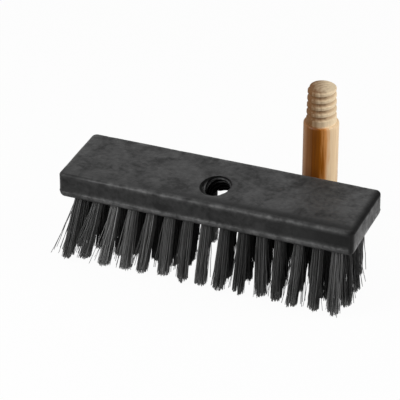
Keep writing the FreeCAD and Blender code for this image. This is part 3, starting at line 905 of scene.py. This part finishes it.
def groove_share(settings, height, angle):
    """Depth of the thread's groove at a height above the shoulder: 1 at its bottom, 0 on the ridge."""
    mouth = settings.thread_pitch - settings.thread_crest
    first = settings.thread_land + mouth / 2
    turn = ((angle - settings.thread_start) / (2 * math.pi)) % 1.0
    turn += round((height - first) / settings.thread_pitch - turn)
    across = abs(height - first - turn * settings.thread_pitch)
    depth = 1.0 - smooth_step(settings.thread_root / 2, mouth / 2, across)
    return depth * smooth_step(-0.06, 0.04, turn)


def handle_profile(settings):
    """Radius and level of the turned handle, from the middle of its foot to the middle of its tip."""
    plain = (HANDLE_HIGH.x - HANDLE_LOW.x) / 2
    foot, tip = HANDLE_LOW.z, HANDLE_HIGH.z
    shoulder = tip - settings.thread_length
    points = [(0.0, foot), (plain * 0.5, foot), (plain - settings.foot_chamfer, foot),
              (plain, foot + settings.foot_chamfer)]
    rise = shoulder - settings.shoulder
    points += [(plain, level) for level in even_levels(foot + 2 * settings.foot_chamfer, rise, SHANK_FACET)]
    for step in range(1, SHOULDER_STEPS + 1):
        angle = step / SHOULDER_STEPS * math.pi / 2
        points.append((plain - settings.shoulder * (1 - math.cos(angle)),
                       rise + settings.shoulder * math.sin(angle)))
    top = tip - settings.tip_chamfer
    points += [(crest_radius(settings, level - shoulder), level)
               for level in even_levels(shoulder + 0.05 * MM, top, THREAD_FACET)]
    for share in (0.35, 0.7, 1.0):
        bevel = settings.tip_chamfer * share
        points.append((settings.thread_radius - bevel, top + bevel))
    points += [(settings.thread_radius * 0.5, tip), (0.0, tip)]
    return points


def handle_mesh(settings):
    """Turned handle end with a cut thread."""
    middle = (HANDLE_LOW + HANDLE_HIGH) / 2
    axis = Vector((middle.x, middle.y, 0))
    bm = bmesh.new()
    profile = handle_profile(settings)
    line = [bm.verts.new((middle.x + radius, middle.y, level)) for radius, level in profile]
    edges = [bm.edges.new(pair) for pair in zip(line, line[1:])]
    bmesh.ops.spin(
        bm, geom=line + edges, cent=axis, axis=(0, 0, 1), angle=2 * math.pi, steps=HANDLE_SIDES,
        use_merge=True)
    bmesh.ops.remove_doubles(bm, verts=bm.verts[:], dist=SAME_POINT)
    bmesh.ops.recalc_face_normals(bm, faces=bm.faces[:])

    bare = bm.verts.layers.float.new("bare")
    groove = bm.verts.layers.float.new("groove")
    shoulder = HANDLE_HIGH.z - settings.thread_length
    root_radius = crest_radius(settings, settings.thread_length / 2) - settings.thread_depth
    for vertex in bm.verts:
        out = vertex.co - axis - Vector((0, 0, vertex.co.z))
        vertex[bare] = smooth_step(-0.4 * MM, 0.3 * MM, vertex.co.z - shoulder)
        if vertex.co.z < shoulder + 0.02 * MM or out.length < settings.thread_radius * 0.6:
            continue
        low = groove_share(settings, vertex.co.z - shoulder, math.atan2(out.y, out.x))
        vertex[groove] = low ** 1.5
        vertex.co -= out.normalized() * low * max(out.length - root_radius, 0.0)
    return bm


class SCRUBBRUSH_OT_block(bpy.types.Operator):
    """Moulded block with its threaded handle socket"""

    bl_idname = "scrub_brush.block"
    bl_label = "Block"

    def execute(self, context):
        settings = context.scene.scrub_brush.block
        block = new_object("moulded_block", rounded_block(settings), block_finish(settings))
        cutter = new_object("socket_cutter", socket_cutter(settings, context.scene.scrub_brush.handle))
        cut_socket(block, cutter)
        mould_skin(block, settings)
        shade_smooth(block.data, math.radians(38))
        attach(block, "head")
        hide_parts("block")
        return {"FINISHED"}


class SCRUBBRUSH_OT_tufts(bpy.types.Operator):
    """Bundles of filaments in rows under the block"""

    bl_idname = "scrub_brush.tufts"
    bl_label = "Tufts"

    def execute(self, context):
        settings = context.scene.scrub_brush.tufts
        material = filament_finish(settings)
        unit = unit_filament()
        names = tuft_names()
        rows = max(row_and_column(name)[0] for name in names)
        columns = max(row_and_column(name)[1] for name in names)
        for name in names:
            bundle = tuft_mesh(name, settings, unit, rows, columns)
            tuft = new_object(name.replace("tuft", "filaments"), bundle, material)
            tuft.data.shade_smooth()
            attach(tuft, "head")
            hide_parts(name)
        bpy.data.meshes.remove(unit)
        return {"FINISHED"}


class SCRUBBRUSH_OT_anchors(bpy.types.Operator):
    """Steel finish for the anchors inside the block"""

    bl_idname = "scrub_brush.anchors"
    bl_label = "Anchors"

    def execute(self, context):
        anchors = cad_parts["tuft_anchors"]
        anchors.data.materials.clear()
        anchors.data.materials.append(anchor_finish(context.scene.scrub_brush.anchors))
        return {"FINISHED"}


class SCRUBBRUSH_OT_handle(bpy.types.Operator):
    """Threaded end of the wooden handle"""

    bl_idname = "scrub_brush.handle"
    bl_label = "Handle end"

    def execute(self, context):
        settings = context.scene.scrub_brush.handle
        handle = new_object("handle_end", handle_mesh(settings), wood_finish(settings))
        shade_smooth(handle.data, math.radians(35))
        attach(handle, "handle")
        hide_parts("threaded_handle")
        return {"FINISHED"}


def paper_floor():
    """White sweep: full white to the camera and to reflections, with the object's soft shadow kept."""
    material = bpy.data.materials.new("white_sweep")
    material.use_nodes = True
    nodes = Nodes(material.node_tree)
    nodes.tree.nodes.clear()
    rays = nodes.add("ShaderNodeLightPath").outputs
    share = 0.0
    for ray, amount in (("Is Camera Ray", 0.96), ("Is Transmission Ray", 0.96), ("Is Glossy Ray", 0.2)):
        part = nodes.add("ShaderNodeMath", {"operation": "MULTIPLY_ADD"})
        for socket, value in enumerate((rays[ray], amount, share)):
            nodes.feed(part, socket, value)
        share = part.outputs["Value"]
    tint = nodes.blend(rays["Is Diffuse Ray"], colour((0.88, 0.88, 0.88)), colour((0.35, 0.35, 0.35)))
    paper = nodes.add("ShaderNodeBsdfDiffuse", Color=tint)
    glow = nodes.add("ShaderNodeEmission")
    mix = nodes.add("ShaderNodeMixShader", Fac=share)
    nodes.feed(mix, 1, paper.outputs["BSDF"])
    nodes.feed(mix, 2, glow.outputs["Emission"])
    nodes.add("ShaderNodeOutputMaterial", Surface=mix.outputs["Shader"])
    return material


def light_world(ambient):
    """Even light, white to the camera; reflections see a white room with a dark flag on the right."""
    world = bpy.data.worlds.new("white_room")
    bpy.context.scene.world = world
    world.use_nodes = True
    nodes = Nodes(world.node_tree)
    rays = nodes.add("ShaderNodeLightPath").outputs
    room = nodes.add("ShaderNodeTexCoord").outputs["Generated"]
    way = nodes.add("ShaderNodeSeparateXYZ", Vector=room)
    flag = nodes.spread(way.outputs["X"], -0.1, 0.3, 1.0, 0.05)
    mirrored = nodes.add("ShaderNodeMix", Factor=rays["Is Glossy Ray"], A=ambient, B=flag)
    seen = nodes.add("ShaderNodeMix", Factor=rays["Is Camera Ray"], A=mirrored.outputs["Result"], B=1.0)
    background = nodes.tree.nodes["Background"]
    nodes.feed(background, "Color", colour((1, 1, 1)))
    nodes.feed(background, "Strength", seen.outputs["Result"])


def soft_light(name, power, place, aim, size):
    """Round area light."""
    light = bpy.data.lights.new(name, "AREA")
    light.shape = "DISK"
    light.size = size
    light.energy = power
    lamp = bpy.data.objects.new(name, light)
    lamp.location = place
    lamp.rotation_mode = "QUATERNION"
    lamp.rotation_quaternion = (Vector(aim) - Vector(place)).to_track_quat("-Z", "Y")
    bpy.context.scene.collection.objects.link(lamp)


class SCRUBBRUSH_OT_stage(bpy.types.Operator):
    """White floor, soft light and the camera"""

    bl_idname = "scrub_brush.stage"
    bl_label = "Stage"

    def execute(self, context):
        settings = context.scene.scrub_brush.stage
        scene = context.scene
        scene.view_settings.view_transform = "Standard"
        bm = bmesh.new()
        bmesh.ops.create_grid(
            bm, x_segments=2, y_segments=2, size=FLOOR_HALF_WIDTH,
            matrix=Matrix.Translation((0, 0, FLOOR_LEVEL - FLOOR_GAP)))
        floor = new_object("floor", bm, paper_floor())

        light_world(settings.ambient)
        soft_light("key_light", settings.key_power, **KEY_LIGHT)
        soft_light("side_light", settings.side_power, **SIDE_LIGHT)

        camera = bpy.data.objects.new("camera", bpy.data.cameras.new("camera"))
        scene.collection.objects.link(camera)
        back = Vector((
            math.sin(settings.azimuth) * math.cos(settings.elevation),
            -math.cos(settings.azimuth) * math.cos(settings.elevation),
            math.sin(settings.elevation),
        ))
        camera.location = Vector(settings.target) + back * settings.distance
        camera.rotation_mode = "QUATERNION"
        camera.rotation_quaternion = (-back).to_track_quat("-Z", "Y")
        camera.data.sensor_width = 36.0
        camera.data.lens = settings.lens
        camera.data.clip_end = 50.0
        scene.camera = camera
        return {"FINISHED"}


class SCRUBBRUSH_PT_panel(bpy.types.Panel):
    """Lists the brush's pieces and settings"""

    bl_idname = "SCRUBBRUSH_PT_panel"
    bl_label = "Scrub Brush"
    bl_space_type = "VIEW_3D"
    bl_region_type = "UI"
    bl_category = "Scrub Brush"

    def draw(self, context):
        settings = context.scene.scrub_brush
        for operator in OPERATORS:
            self.layout.operator(operator.bl_idname)
        for group in (settings.block, settings.tufts, settings.anchors, settings.handle, settings.stage):
            box = self.layout.box()
            for name in group.__annotations__:
                box.prop(group, name)


GROUPS = (BlockSettings, TuftSettings, AnchorSettings, HandleSettings, StageSettings, BrushSettings)
OPERATORS = (
    SCRUBBRUSH_OT_stage,
    SCRUBBRUSH_OT_block,
    SCRUBBRUSH_OT_tufts,
    SCRUBBRUSH_OT_anchors,
    SCRUBBRUSH_OT_handle,
)
CLASSES = GROUPS + OPERATORS + (SCRUBBRUSH_PT_panel,)


def register():
    for item in CLASSES:
        bpy.utils.register_class(item)
    bpy.types.Scene.scrub_brush = PointerProperty(type=BrushSettings)


def unregister():
    del bpy.types.Scene.scrub_brush
    for item in reversed(CLASSES):
        bpy.utils.unregister_class(item)


def main():
    register()
    bpy.ops.scrub_brush.stage()
    bpy.ops.scrub_brush.block()
    bpy.ops.scrub_brush.tufts()
    bpy.ops.scrub_brush.anchors()
    bpy.ops.scrub_brush.handle()


if __name__ == "__main__":
    main()
